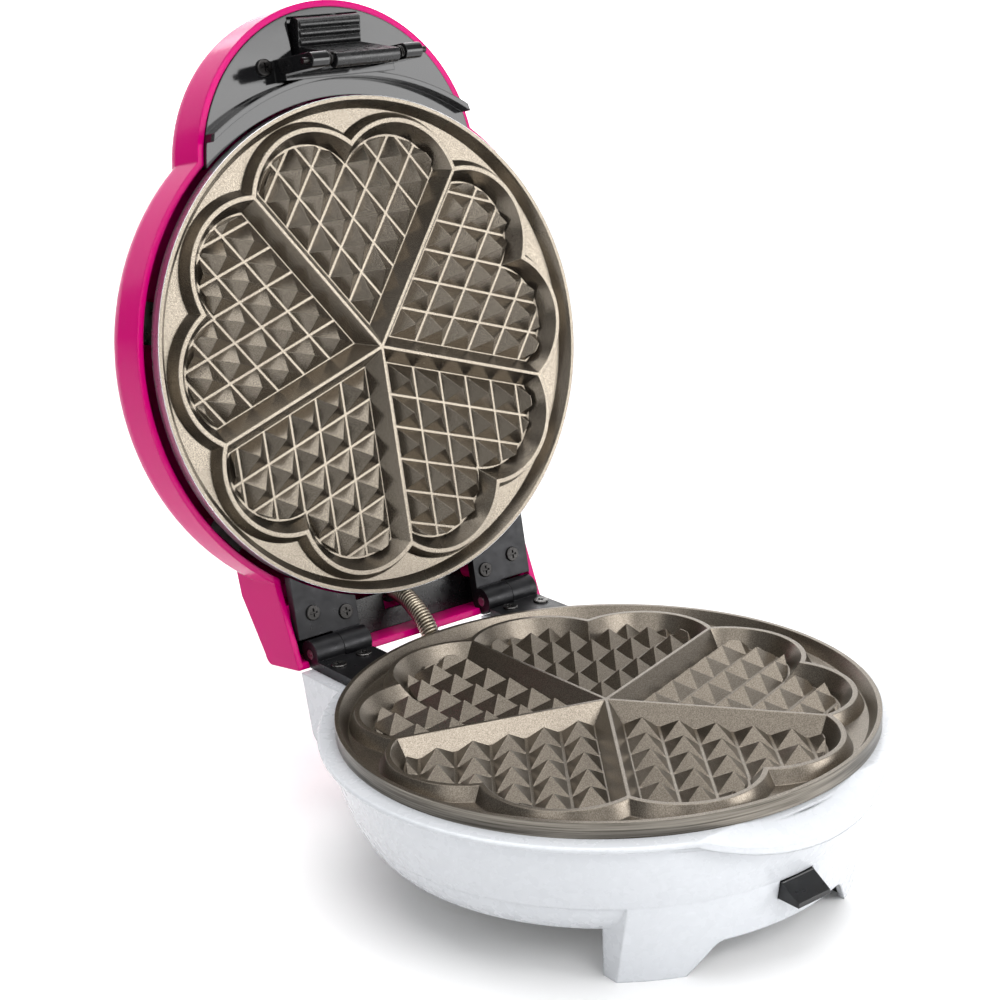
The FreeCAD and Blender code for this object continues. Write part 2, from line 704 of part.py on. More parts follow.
def build_shield(name, placement):
    """Reflector pan behind the heater."""
    body = new_body(name)
    revolved(body, name + "_pan", [
        (0, -23.0), (0, -23.8), (66.5, -23.8), (70.8, -17.8), (74.0, -17.8), (74.0, -17.2), (70.2, -17.2),
        (66.0, -23.0)])
    holes = body_sketch(body, name + "_holes", "XY_Plane", -26.0)
    for angle in (165.0, 195.0):
        place = spoke(angle, num("heater_orbit"))
        ring(holes, 4.6, place.x, place.y)
    ring(holes, 11.0, 0.0, 0.0)
    pocket(body, name + "_drill", holes, 5.0, reverse=True)
    node(name, body, placement)


def build_thermostat(name, placement):
    """Round thermostat against the plate's back, with two tabs."""
    disc = rod(name + "_disc", 8.5, 9.0, (0, 0, -19.0))
    cap = rod(name + "_cap", 5.0, 6.0, (0, 0, -25.0))
    flange = block(name + "_flange", (-14.0, -4.0, -11.0), (28.0, 8.0, 1.0))
    tabs = [block(name + "_tab%d" % index, (x, -3.0, -30.0), (0.8, 6.0, 6.0))
            for index, x in enumerate((-3.2, 2.4))]
    node(name, fused(name + "_all", [disc, cap, flange] + tabs), placement)


def build_fuse(name, placement):
    """Thermal fuse in its sleeve, across the back of the plate."""
    sleeve = rod(name + "_sleeve", 2.0, 24.0, (-12.0, 28.0, -12.05), (1, 0, 0))
    leads = [rod(name + "_lead%d" % index, 0.5, 7.0, (x, 28.0, -12.05), (1, 0, 0))
             for index, x in enumerate((-19.0, 12.0))]
    node(name, fused(name + "_all", [sleeve] + leads), placement)


def plate_screws(name, placement):
    heads = [Placement(spoke(a, 78.0, -17.2), UPSIDE_DOWN) for a in PLATE_SCREW_ANGLES]
    screw_group(name, pan_screw(3.2, 2.2, 1.6, 8.0), heads, placement)


# ---------------------------------------------------------------- electrics in the base


def build_terminal_block():
    """Two-way terminal block on the floor of the housing."""
    shell = block("TerminalBody", (-16.0, 66.0, 20.5), (22.0, 14.0, 11.0))
    wells = [rod("TerminalWell%d" % index, 2.2, 6.0, (x, 73.0, 26.0)) for index, x in enumerate((-10.5, 0.5))]
    ways = [rod("TerminalWay%d" % index, 1.8, 16.0, (x, 65.0, 25.0), (0, 1, 0))
            for index, x in enumerate((-10.5, 0.5))]
    node("terminal_block", cut("TerminalBlock", shell, fused("TerminalHoles", wells + ways)))


def build_gland():
    """Cord inlet: a flanged sleeve in the back wall."""
    sleeve = rod("GlandSleeve", 4.95, 8.6, (40.0, 102.2, 40.5), (0, 1, 0))
    collar = rod("GlandCollar", 7.0, 2.6, (40.0, 108.8, 40.5), (0, 1, 0))
    inside = rod("GlandLip", 6.0, 1.6, (40.0, 102.2, 40.5), (0, 1, 0))
    bore = rod("GlandBore", 3.2, 12.0, (40.0, 100.5, 40.5), (0, 1, 0))
    node("cord_gland", cut("CordGland", fused("GlandAll", [sleeve, collar, inside]), bore))


def conduit_route():
    """Centre line of the spring conduit in the plane x = CONDUIT_X, from the base to the open lid."""
    points = [Vector(CONDUIT_X, CONDUIT_BACK, 40.0), Vector(CONDUIT_X, CONDUIT_BACK, 44.0)]
    edges = [Part.LineSegment(points[0], points[1]).toShape()]
    heading = 0.0
    for radius, target, run in ((26.0, 60.0, 3.0), (22.0, 84.0, 10.0)):
        start = points[-1]
        sign = 1.0 if target > heading else -1.0

        def on_arc(angle, origin=start, bend=radius, towards=sign, first=heading):
            turn, begin = math.radians(angle), math.radians(first)
            return origin + Vector(0, towards * bend * (math.cos(begin) - math.cos(turn)),
                                   towards * bend * (math.sin(turn) - math.sin(begin)))

        edges.append(Part.Arc(start, on_arc((heading + target) / 2), on_arc(target)).toShape())
        end = on_arc(target)
        after = end + Vector(0, math.sin(math.radians(target)), math.cos(math.radians(target))) * run
        edges.append(Part.LineSegment(end, after).toShape())
        points += [end, after]
        heading = target
    return Part.Wire(edges), points


def build_conduit():
    route, points = conduit_route()
    section = Part.Wire(Part.makeCircle(num("conduit_radius"), points[0], Vector(0, 0, 1)))
    tube = route.makePipeShell([section], True, True)
    expected = math.pi * num("conduit_radius") ** 2 * route.Length
    print("conduit length %.1f volume ratio %.3f" % (route.Length, tube.Volume / expected))
    node("spring_conduit", shaped("SpringConduit", tube))
    body = new_body("conduit_grommet")
    revolved(body, "GrommetRing", [(4.9, 42.6), (5.5, 42.6), (5.5, 46.1), (7.4, 46.1), (7.4, 46.9), (6.6, 47.5),
                                   (4.9, 47.5)])
    node("conduit_grommet", body, Placement(Vector(CONDUIT_X, CONDUIT_BACK, 0), Rotation()))
    # the lid's clamp is a collar round the conduit's far end
    along = points[-1] - points[-2]
    along.normalize()
    clamp = Part.makeCylinder(6.2, 4.0, points[-1] - along * 4.0, along)
    bore = Part.makeCylinder(num("conduit_radius"), 6.0, points[-1] - along * 5.0, along)
    node("conduit_clamp", shaped("ConduitClamp", clamp.cut(bore)))


# ---------------------------------------------------------------- hinges


def leaf_profile(side, edge, back_outer, back_inner):
    """Plan of a hinge leaf out to its edge: concave to the plate, stepped at the knuckles."""
    radius = num("plate_radius") + 0.8
    inner = num("leaf_inner")
    step = (inner + num("leaf_outer")) / 2
    middle = (inner + edge) / 2
    return [(side * edge, math.sqrt(radius ** 2 - edge ** 2), side * middle, math.sqrt(radius ** 2 - middle ** 2)),
            (side * edge, back_outer), (side * step, back_outer), (side * step, back_inner),
            (side * inner, back_inner), (side * inner, math.sqrt(radius ** 2 - inner ** 2))]


def build_hinges():
    axis_y, axis_z = num("hinge_back"), num("hinge_height")
    knuckle, gap = num("knuckle_radius"), num("leaf_gap")
    inner, outer = num("leaf_inner"), num("leaf_outer")
    middle = (inner + outer) / 2
    clear_back = axis_y - knuckle - 0.5
    for side, word in ((-1, "left"), (1, "right")):
        for half in ("base", "lid"):
            name = "hinge_leaf_%s_%s" % (half, word)
            body = new_body(name)
            own_low, own_high = (middle + 0.1, outer) if half == "base" else (inner, middle - 0.1)
            backs = (axis_y, clear_back) if half == "base" else (clear_back, axis_y)
            edge = outer if half == "base" else outer + 2.6
            level = axis_z - gap - num("leaf_thickness") if half == "base" else axis_z + gap
            plan = body_sketch(body, name + "_plan", "XY_Plane", level)
            draw(plan, leaf_profile(side, edge, *backs))
            pad(body, name + "_leaf", plan, dim("leaf_thickness"))
            start = own_low if side > 0 else -own_high
            barrel = body_sketch(body, name + "_barrel", "YZ_Plane", start)
            ring(barrel, dim("knuckle_radius"), axis_y, axis_z)
            pad(body, name + "_knuckle", barrel, own_high - own_low)
            bore = body_sketch(body, name + "_bore", "YZ_Plane", start - 1.0)
            fit = dim("pin_radius") if half == "base" else dim("pin_radius") + dim("running_fit")
            ring(bore, fit, axis_y, axis_z)
            pocket(body, name + "_bore_cut", bore, own_high - own_low + 2.0, reverse=True)
            drill = body_sketch(body, name + "_drill", "XY_Plane", level - 1.0)
            for x, y in leaf_screw_spots(half):
                if x * side > 0:
                    ring(drill, 1.7, x, y)
            pocket(body, name + "_drill_cut", drill, 7.0, reverse=True)
            node(name, body, LID_OPEN if half == "lid" else None)
        low = inner if side > 0 else -outer
        node("hinge_pin_" + word, rod("HingePin_" + word, dim("pin_radius"),
                                      dim("leaf_outer") - dim("leaf_inner"), (low, axis_y, axis_z), (1, 0, 0)))
    screw = pan_screw(3.1, 0.8, 1.3, 9.0)
    base_top = axis_z - gap
    screw_group("hinge_screws_base", screw,
                [Placement(Vector(x, y, base_top), Rotation()) for x, y in leaf_screw_spots("base")])
    screw_group("hinge_screws_lid", screw,
                [Placement(Vector(x, y, axis_z + gap), UPSIDE_DOWN) for x, y in leaf_screw_spots("lid")], LID_OPEN)


# ---------------------------------------------------------------- lid


def dome(radius, low, crown, bend, sag):
    """Outline of a domed cap: straight wall, round shoulder, gently arched top."""
    wide, high = parts_of(radius)[0], parts_of(crown)[0] - sag
    keep = bend * (1 - math.sqrt(0.5))
    half = (wide - bend) / 2
    sphere = (4 * half * half + sag * sag) / (2 * sag)
    drop = sphere - math.sqrt(sphere * sphere - half * half)
    return [(0, crown, half, high + sag - drop), (0, low), (radius, low),
            (radius, crown - (sag + bend)), (radius - bend, crown - sag, wide - keep, high - keep)]


def build_lid_shell():
    rim = dim("lid_rim")
    crown = dim("lid_crown")
    wall = num("wall")
    bend = num("lid_shoulder")
    lobe_bend = bend - 3.0
    radius = dim("lid_radius")
    lobe_y = -num("lid_lobe_centre")
    lobe_radius = dim("lid_lobe_radius")
    outer = turned("LidOuter", dome(radius, rim, crown, bend, 4.0))
    core = turned("LidCore", dome(radius - wall, 60.0, crown - wall, bend - wall, 4.0))
    lobe = turned("LidLobe", dome(lobe_radius, rim, crown - 2.0, lobe_bend, 3.0), lobe_y)
    lobe_core = turned("LidLobeCore",
                       dome(lobe_radius - wall, 60.0, crown - 2.0 - wall, lobe_bend - wall, 3.0), lobe_y)
    tail = extruded("LidTail", "YZ", [
        (60.0, 70.5), (84.0, 70.5), (117.0, 62.7), (117.0, 82.5), (113.2, 87.0, 116.2, 85.3), (90.0, 98.6),
        (60.0, 101.0)], -60.5, 121.0)
    notches = [rod("LidNotch%d" % index, dim("knuckle_radius") + 0.6, 26.5,
                   (x, num("hinge_back"), num("hinge_height")), (1, 0, 0)) for index, x in enumerate((-55.3, 28.8))]
    tail_core = extruded("LidTailCore", "YZ", [
        (50.0, 60.0), (114.5, 60.0), (114.5, 82.0), (112.0, 84.7, 113.8, 83.8), (89.0, 96.1), (50.0, 98.5)],
        -58.0, 116.0)
    solid = fused("LidSolid", [outer, lobe, tail])
    hollow = fused("LidHollow", [core, lobe_core, tail_core])
    shell = cut("LidThinShell", solid, hollow)
    bosses = [rod("LidLeafBoss%d" % index, 4.0, 40.0, (x, y, num("hinge_height") + 5.7))
              for index, (x, y) in enumerate(leaf_screw_spots("lid"))]
    bosses += [rod("LidTabBoss%d" % index, 4.0, 25.0, tuple(spoke(a, 92.5, 79.6)))
               for index, a in enumerate(LID_TAB_ANGLES)]
    ribs = [block("LidLeafRib%d" % index, (x, 92.0, 68.6), (4.0, 24.0, 22.0))
            for index, x in enumerate((-60.0, 56.0))]
    drills = [rod("LidLeafDrill%d" % index, 1.3, 8.0, (x, y, num("hinge_height") + 5.0))
              for index, (x, y) in enumerate(leaf_screw_spots("lid"))]
    lamps = [rod("LampHole%d" % index, 4.05, 12.0, (x, -LAMP_FRONT, 96.0)) for index, x in enumerate(LAMP_X)]
    inside = common("LidRibsInside", [fused("LidRibs", ribs + bosses), solid])
    whole = fused("LidWhole", [shell, inside])
    node("lid_shell", cut("LidShell", whole, fused("LidDrills", drills + lamps + notches)), LID_OPEN)


def build_liner():
    """Flat black cover inside the lid's tail, open round the conduit and the screw bosses."""
    level, thickness = 76.0, 1.6
    sheet_part = block("LinerSheet", (-56.0, 99.5, level), (112.0, 15.0, thickness))
    slot = block("LinerSlot", (CONDUIT_X - 7.0, 90.0, level - 1.0), (14.0, 17.0, thickness + 2.0))
    rooms = [rod("LinerRoom%d" % index, 4.1, thickness + 2.0, (x, y, level - 1.0))
             for index, (x, y) in enumerate(leaf_screw_spots("lid"))]
    node("lid_liner", cut("LidLiner", sheet_part, fused("LinerHoles", [slot] + rooms)), LID_OPEN)


def build_lamps():
    """Two lenses in the lid's top and the holder behind them."""
    for x, word in zip(LAMP_X, ("red", "green")):
        stem = rod("Lamp_%s_stem" % word, 4.0, 8.0, (x, -LAMP_FRONT, 97.0))
        cap = doc.addObject("Part::Sphere", "Lamp_%s_cap" % word)
        cap.Radius = 6.0
        cap.Placement = Placement(Vector(x, -LAMP_FRONT, 100.6), Rotation())
        trim = rod("Lamp_%s_trim" % word, 4.0, 4.0, (x, -LAMP_FRONT, 104.0))
        dome = common("Lamp_%s_dome" % word, [cap, trim])
        node("lamp_lens_" + word, fused("Lamp_%s" % word, [stem, dome]), LID_OPEN)
    plate = block("LampPlate", (-20.0, -LAMP_FRONT - 8.0, 93.5), (40.0, 16.0, 3.4))
    cups = [rod("LampCup%d" % index, 3.0, 8.0, (x, -LAMP_FRONT, 88.0)) for index, x in enumerate(LAMP_X)]
    node("lamp_holder", fused("LampHolder", [plate] + cups), LID_OPEN)


def build_bezel():
    """Black bezel in the lid's lobe: D-shaped face, curved wall, latch channel and latch posts."""
    face_low = 69.7
    lobe_y = -num("lid_lobe_centre")
    reach = num("lid_lobe_radius") - 2.7
    disc = rod("BezelDisc", reach, 2.7, (0, lobe_y, face_low))
    ledge = rod("BezelLedge", 107.3, 3.4, (0, 0, face_low - 1.4))
    ledge_part = common("BezelLedgePart", [ledge, rod("BezelReach", reach, 6.0, (0, lobe_y, face_low - 2.0))])
    arc_ring = cut("BezelArcRing", rod("BezelArcOuter", 107.3, 7.4, (0, 0, 62.8)),
                   rod("BezelArcInner", 105.3, 9.0, (0, 0, 62.0)))
    sector = extruded("BezelSector", "XY", [(0, 0), (90.0, -123.9), (-90.0, -123.9)], 60.0, 14.0)
    arc_wall = common("BezelArcWall", [arc_ring, sector])
    pin_y, pin_z = -num("latch_pin_front"), num("latch_pin_height")
    posts = []
    for index, x in enumerate((-25.0, 17.6)):
        posts.append(block("BezelPost%d" % index, (x, pin_y - 3.0, pin_z), (7.4, 6.0, face_low + 1.0 - pin_z)))
        posts.append(rod("BezelPostEye%d" % index, 3.0, 7.4, (x, pin_y, pin_z), (1, 0, 0)))
    web = block("BezelWeb", (-25.0, pin_y + 3.0, 62.0), (50.0, 2.4, 9.0))
    channel = block("BezelChannel", (-17.6, -130.8, face_low), (35.2, 23.4, 9.0))
    channel_room = block("BezelChannelRoom", (-16.2, -130.0, face_low - 8.0), (32.4, 21.0, 15.6))
    limit = rod("BezelLimit", reach, 40.0, (0, lobe_y, 40.0))
    plate_hole = rod("BezelPlateHole", num("plate_radius") + 0.8, 30.0, (0, 0, 60.0))
    pin_hole = rod("BezelPinHole", dim("latch_pin_radius"), 60.0, (-30.0, pin_y, pin_z), (1, 0, 0))
    whole = fused("BezelWhole", [disc, ledge_part, arc_wall, web, channel] + posts)
    inside = common("BezelInside", [whole, limit])
    screw_holes = [rod("BezelScrewHole%d" % index, 1.7, 8.0, (x, -112.0, face_low - 2.0))
                   for index, x in enumerate((-BEZEL_SCREW_X, BEZEL_SCREW_X))]
    holes = fused("BezelHoles", [plate_hole, pin_hole, channel_room] + screw_holes)
    node("lid_bezel", cut("LidBezel", inside, holes), LID_OPEN)
    heads = [Placement(Vector(x, -112.0, face_low), UPSIDE_DOWN) for x in (-BEZEL_SCREW_X, BEZEL_SCREW_X)]
    screw_group("bezel_screws", pan_screw(3.3, 1.3, 1.6, 9.0), heads, LID_OPEN)


def build_latch():
    """Latch lever in its own frame: pin at the origin, arm up +Z, ribbed foot towards -Y."""
    half = num("latch_half")
    face = dim("latch_reach") + 0.9
    front = -1.9
    body = new_body("latch_lever")
    side = body_sketch(body, "LatchSide", "YZ_Plane", -half)
    draw(side, [(front, -2.2, 1.4, -3.0), (front, face), (-11.8, face), (-11.4, face + 5.6, -12.6, face + 3.2),
                (-9.0, face + 6.8), (2.6, face + 6.8), (5.0, face + 4.0, 4.4, face + 6.0), (5.0, 9.0), (3.0, 2.0)])
    pad(body, "LatchArm", side, dim("latch_half") * 2)
    ribs = body_sketch(body, "LatchRibs", "YZ_Plane", -half + 0.6)
    for index in range(3):
        middle = -3.5 - 3.3 * index
        draw(ribs, [(middle - 1.5, face + 0.5), (middle - 1.5, face),
                    (middle + 1.5, face, middle, num("latch_reach")), (middle + 1.5, face + 0.5)])
    pad(body, "LatchRibPad", ribs, dim("latch_half") * 2 - 1.2)
    bore = body_sketch(body, "LatchBore", "YZ_Plane", -half - 1.0)
    ring(bore, dim("latch_pin_radius") + dim("running_fit"))
    pocket(body, "LatchBoreCut", bore, dim("latch_half") * 2 + 2.0, reverse=True)
    pin = Vector(0, -num("latch_pin_front"), num("latch_pin_height"))
    folded = LID_OPEN * Placement(pin, Rotation(Vector(1, 0, 0), num("latch_lean")))
    node("latch_lever", body, folded)
    node("latch_pin", rod("LatchPin", dim("latch_pin_radius"), 56.0, (-28.0, pin.y, pin.z), (1, 0, 0)), LID_OPEN)


def build_latch_spring():
    """A torsion spring on each side of the lever: close turns round the pin, and a leg along the post."""
    wire, coil, pitch, length = 0.4, 1.75, 0.9, 1.8
    pin_y, pin_z = -num("latch_pin_front"), num("latch_pin_height")
    springs = []
    for side in (-1, 1):
        helix = Part.makeHelix(pitch, length, coil)
        section = Part.Wire(Part.makeCircle(wire, Vector(coil, 0, 0), Vector(0, 1, 0)))
        turns = Part.Wire(helix).makePipeShell([section], True, True)
        leg = Part.makeCylinder(wire, 18.0, Vector(coil, 0, 0), Vector(0, -1, 0))
        tail = Part.makeCylinder(wire, 3.0, Vector(coil, 0, length), Vector(0, 1, 0))
        spring = turns.fuse([leg, tail])
        start = side * (num("latch_half") + 0.6 + length + wire)
        spring.Placement = Placement(Vector(start, pin_y, pin_z),
                                     Rotation(Vector(0, side, 0), Vector(0, 0, -1), Vector(-side, 0, 0)))
        springs.append(spring)
    node("latch_spring", shaped("LatchSpring", Part.makeCompound(springs)), LID_OPEN)


# ---------------------------------------------------------------- build, check, export


def build_all():
    build_plates()
    build_base_shell()
    build_base_cover()
    build_feet()
    build_catch()
    build_heater("lower_heater", LOWER)
    build_heater("upper_heater", UPPER)
    build_carrier("lower_carrier", LOWER, BASE_TAB_ANGLES, 94.0)
    build_carrier("upper_carrier", UPPER, LID_TAB_ANGLES, 97.0)
    build_shield("lower_shield", LOWER)
    build_shield("upper_shield", UPPER)
    build_thermostat("lower_thermostat", LOWER)
    build_thermostat("upper_thermostat", UPPER)
    build_fuse("lower_fuse", LOWER)
    build_fuse("upper_fuse", UPPER)
    plate_screws("lower_plate_screws", LOWER)
    plate_screws("upper_plate_screws", UPPER)
    build_terminal_block()
    build_gland()
    build_conduit()
    build_hinges()
    build_lid_shell()
    build_liner()
    build_lamps()
    build_bezel()
    build_latch()
    build_latch_spring()


def export_all():
    doc.recompute()
    broken = [obj.Label for obj in doc.Objects if "Invalid" in obj.State or "Error" in obj.State]
    if broken:
        raise RuntimeError("objects that failed: %s" % ", ".join(broken))
    os.makedirs("parts", exist_ok=True)
    for name, obj in nodes.items():
        shape = obj.Shape
        if shape.isNull() or not shape.isValid():
            raise RuntimeError("%s has no valid shape" % name)
        if not shape.Solids:
            raise RuntimeError("%s has no solid" % name)
        shape.exportStep("parts/%s.step" % name)
        print("%-26s solids %d volume %9.1f" % (name, len(shape.Solids), shape.Volume))
    print("%d nodes" % len(nodes))


build_all()
export_all()
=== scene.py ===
import json
import math

import bpy
from mathutils import Matrix, Vector


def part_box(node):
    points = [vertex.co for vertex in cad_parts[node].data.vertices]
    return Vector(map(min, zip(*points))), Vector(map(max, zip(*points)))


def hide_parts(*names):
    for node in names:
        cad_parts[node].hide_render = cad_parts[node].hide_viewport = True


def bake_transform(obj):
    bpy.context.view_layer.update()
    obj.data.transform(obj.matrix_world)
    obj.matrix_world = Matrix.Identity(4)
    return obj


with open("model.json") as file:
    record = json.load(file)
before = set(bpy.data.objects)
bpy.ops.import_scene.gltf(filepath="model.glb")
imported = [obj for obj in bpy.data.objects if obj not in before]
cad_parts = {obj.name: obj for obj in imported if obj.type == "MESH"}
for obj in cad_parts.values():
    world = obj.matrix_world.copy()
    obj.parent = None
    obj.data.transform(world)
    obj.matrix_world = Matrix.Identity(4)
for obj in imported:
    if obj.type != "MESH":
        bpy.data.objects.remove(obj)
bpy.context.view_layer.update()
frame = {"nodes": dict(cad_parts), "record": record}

# ---------------------------------------------------------------- facts read from the frame

MM = 0.001
HINGE = next(j for j in frame["record"]["behaviour"]["joints"] if j["name"] == "lid_hinge")
PIVOT = Vector(HINGE["pos_m"])
OPEN_ANGLE = math.radians(HINGE["range_deg"][1])
TO_CLOSED = Matrix.Rotation(OPEN_ANGLE, 3, "X")

# Where a texture is laid out: the shift and the turn about x that carry a point from rest, where the lid
# stands open, to the closed appliance.
BASE_FRAME = (Vector((0, 0, 0)), 0.0)
LID_FRAME = (PIVOT - TO_CLOSED @ PIVOT, OPEN_ANGLE)

# ---------------------------------------------------------------- sizes

PLATE_TOP_RADIUS = 97.7 * MM        # the coating ends here
PLATE_SIDE_RADIUS = 97.95 * MM      # from here on the plate is bare turned metal

CONDUIT_RADIUS = 3.9 * MM
CONDUIT_ENTRY = 4 * MM              # straight run out of the grommet
# Radius of each bend, heading after it in degrees from straight up, and the straight run that follows.
CONDUIT_BENDS = ((26 * MM, 60, 3 * MM), (22 * MM, 84, 10 * MM))
ROUTE_STEP = 0.5 * MM
WIRE_RADIUS = 0.62 * MM
WINDING_PITCH = 2.05 * WIRE_RADIUS  # close-wound: a hair more than the wire's own width
POINTS_PER_TURN = 20
WIRE_SIDES = 6

# ---------------------------------------------------------------- colours, linear

MAGENTA = (0.55, 0.0003, 0.150)
DEEP_MAGENTA = (0.51, 0.0003, 0.138)
WHITE = (0.585, 0.605, 0.635)
DULL_WHITE = (0.575, 0.594, 0.624)
ZINC = (0.62, 0.61, 0.59)
LID_SCREW_BLACK = (0.045, 0.043, 0.042)
BASE_SCREW_BLACK = (0.16, 0.155, 0.15)
CHARCOAL = (0.014, 0.014, 0.016)
LID_BLACK = (0.0045, 0.0045, 0.005)
BASE_BLACK = (0.005, 0.005, 0.0055)
BEZEL_BLACK = (0.006, 0.006, 0.0065)
RUBBER_BLACK = (0.02, 0.02, 0.02)
SHEATH_GREY = (0.30, 0.27, 0.25)
SLEEVE_CREAM = (0.74, 0.71, 0.60)
CERAMIC_CREAM = (0.78, 0.75, 0.68)
ENAMEL_GREY = (0.42, 0.42, 0.41)
LAMP_RED = (0.55, 0.01, 0.01)
LAMP_GREEN = (0.01, 0.42, 0.06)
WINDING_STEEL = (0.50, 0.44, 0.35)

# The plates' coating and the turned metal of their side, each as a dark and a pale colour.
LOWER_COATING = ((0.125, 0.107, 0.086), (0.235, 0.206, 0.170))
UPPER_COATING = ((0.118, 0.101, 0.081), (0.220, 0.194, 0.158))
LOWER_BAND = ((0.085, 0.076, 0.064), (0.26, 0.238, 0.205))
# The upper plate's side is the same turned metal as the lower's, painted much paler: a painted reflection
# of the light from the left.
UPPER_BAND_PAINTED_REFLECTION = ((0.30, 0.31, 0.33), (0.60, 0.61, 0.64))

# ---------------------------------------------------------------- studio and viewpoint

STUDIO_REACH = 4.0
BACKDROP_LEFT = -1.5
BACKDROP_NEAR = -1.0
BACKDROP_GLOW = 0.9
SKY_STRENGTH = 0.24
LIGHT_TARGET = (0.0, 0.05, 0.10)
KEY_TARGET = (0.0, 0.13, 0.17)

CAMERA_PLACE = (-0.4163, -0.4853, 0.3368)
CAMERA_ANGLES = (-37.477, 17.225, -2.508)  # azimuth, elevation and roll in degrees
CAMERA_LENS_MM = 68.9
CAMERA_SENSOR_MM = 36.0
CAMERA_NEAREST = 0.01


# ---------------------------------------------------------------- material helpers


class Shader:
    """A principled material under construction, textured in the closed appliance's coordinates."""

    def __init__(self, name, placement=BASE_FRAME):
        self.material = bpy.data.materials.new(name)
        self.material.use_nodes = True
        self.tree = self.material.node_tree
        self.surface = self.tree.nodes["Principled BSDF"]
        coordinates = self.add("ShaderNodeTexCoord")
        place = self.add("ShaderNodeMapping")
        place.inputs["Location"].default_value = placement[0]
        place.inputs["Rotation"].default_value = (placement[1], 0, 0)
        self.link(coordinates.outputs["Object"], place.inputs["Vector"])
        self.position = place.outputs["Vector"]

    def add(self, kind, **settings):
        node = self.tree.nodes.new(kind)
        for key, value in settings.items():
            setattr(node, key, value)
        return node

    def link(self, source, target):
        self.tree.links.new(source, target)

    def set(self, **values):
        """Give the surface's sockets uniform values; an underscore stands for a space."""
        for key, value in values.items():
            self.surface.inputs[key.replace("_", " ")].default_value = value
        return self

    def noise(self, scale, detail=3.0, stretch=None):
        """Noise in 0..1; stretch squeezes the pattern along the axes."""
        node = self.add("ShaderNodeTexNoise")
        node.inputs["Scale"].default_value = scale
        node.inputs["Detail"].default_value = detail
        source = self.position
        if stretch is not None:
            squeeze = self.add("ShaderNodeMapping")
            squeeze.inputs["Scale"].default_value = stretch
            self.link(source, squeeze.inputs["Vector"])
            source = squeeze.outputs["Vector"]
        self.link(source, node.inputs["Vector"])
        return node.outputs["Fac"]

    def math(self, operation, first, second=0.0):
        node = self.add("ShaderNodeMath", operation=operation)
        for socket, value in zip(node.inputs, (first, second)):
            if isinstance(value, (int, float)):
                socket.default_value = value
            else:
                self.link(value, socket)
        return node.outputs["Value"]

    def span(self, value, low, high, to_low=0.0, to_high=1.0):
        """Map a value from one range to another, clamped."""
        node = self.add("ShaderNodeMapRange")
        self.link(value, node.inputs["Value"])
        limits = {"From Min": low, "From Max": high, "To Min": to_low, "To Max": to_high}
        for key, number in limits.items():
            node.inputs[key].default_value = number
        return node.outputs["Result"]

    def blend(self, factor, first, second):
        """Colour between two colours or colour sockets."""
        node = self.add("ShaderNodeMix", data_type="RGBA")
        self.link(factor, node.inputs["Factor"])
        for socket, value in ((node.inputs["A"], first), (node.inputs["B"], second)):
            if isinstance(value, tuple):
                socket.default_value = (*value, 1.0)
            else:
                self.link(value, socket)
        return node.outputs["Result"]

    def colour(self, socket):
        self.link(socket, self.surface.inputs["Base Color"])

    def roughness(self, socket):
        self.link(socket, self.surface.inputs["Roughness"])

    def relief(self, height, distance, strength, edge=0.0):
        """Bump from a height in 0..1 that stands for a distance, over edges softened by a bevel."""
        bump = self.add("ShaderNodeBump")
        bump.inputs["Strength"].default_value = strength
        bump.inputs["Distance"].default_value = distance
        self.link(height, bump.inputs["Height"])
        if edge:
            bevel = self.add("ShaderNodeBevel", samples=4)
            bevel.inputs["Radius"].default_value = edge
            self.link(bevel.outputs["Normal"], bump.inputs["Normal"])
        self.link(bump.outputs["Normal"], self.surface.inputs["Normal"])

    def distance_from_axis(self):
        """Distance from the z axis of the closed appliance."""
        split = self.add("ShaderNodeSeparateXYZ")
        self.link(self.position, split.inputs["Vector"])
        squares = [self.math("MULTIPLY", split.outputs[axis], split.outputs[axis]) for axis in "XY"]
        return self.math("SQRT", self.math("ADD", *squares))


# ---------------------------------------------------------------- materials


def gloss_shell(name, tint, deep, roughness, shine, placement=BASE_FRAME):
    """Injection-moulded gloss shell: faint tone drift, slight waviness and fine dust on its surface."""
    shader = Shader(name, placement)
    shader.set(Coat_Weight=shine, Coat_Roughness=0.05, Specular_IOR_Level=shine)
    drift = shader.span(shader.noise(scale=9.0), 0.35, 0.65)
    shader.colour(shader.blend(drift, tint, deep))
    dust = shader.noise(scale=220.0, detail=4.0)
    shader.roughness(shader.span(dust, 0.4, 0.75, roughness, roughness + 0.05))
    waves = shader.noise(scale=12.0, detail=1.0)
    shader.relief(waves, distance=0.02 * MM, strength=0.15, edge=1.1 * MM)
    return shader.material


def moulded(name, tint, roughness, grain, edge, placement=BASE_FRAME):
    """Moulded plastic with a fine spark-eroded grain."""
    shader = Shader(name, placement)
    worn = tuple(c * 1.25 + 0.002 for c in tint)
    wear = shader.span(shader.noise(scale=60.0, detail=5.0), 0.4, 0.7)
    shader.colour(shader.blend(wear, tint, worn))
    smears = shader.noise(scale=400.0, detail=4.0)
    shader.roughness(shader.span(smears, 0.3, 0.7, roughness - 0.06, roughness + 0.08))
    shader.relief(shader.noise(grain, detail=2.0), distance=0.02 * MM, strength=0.25, edge=edge)
    return shader.material


def gloss_black(name, tint, placement):
    """Black moulding polished almost to a mirror, with faint flow lines."""
    shader = Shader(name, placement)
    paler = tuple(c * 1.3 for c in tint)
    shader.colour(shader.blend(shader.noise(scale=7.0, detail=2.0), tint, paler))
    flow = shader.noise(scale=14.0, detail=3.0, stretch=(1.0, 4.0, 1.0))
    shader.roughness(shader.span(flow, 0.3, 0.7, 0.07, 0.12))
    shader.relief(shader.noise(scale=28.0, detail=1.0), distance=0.06 * MM, strength=0.3, edge=0.5 * MM)
    return shader.material


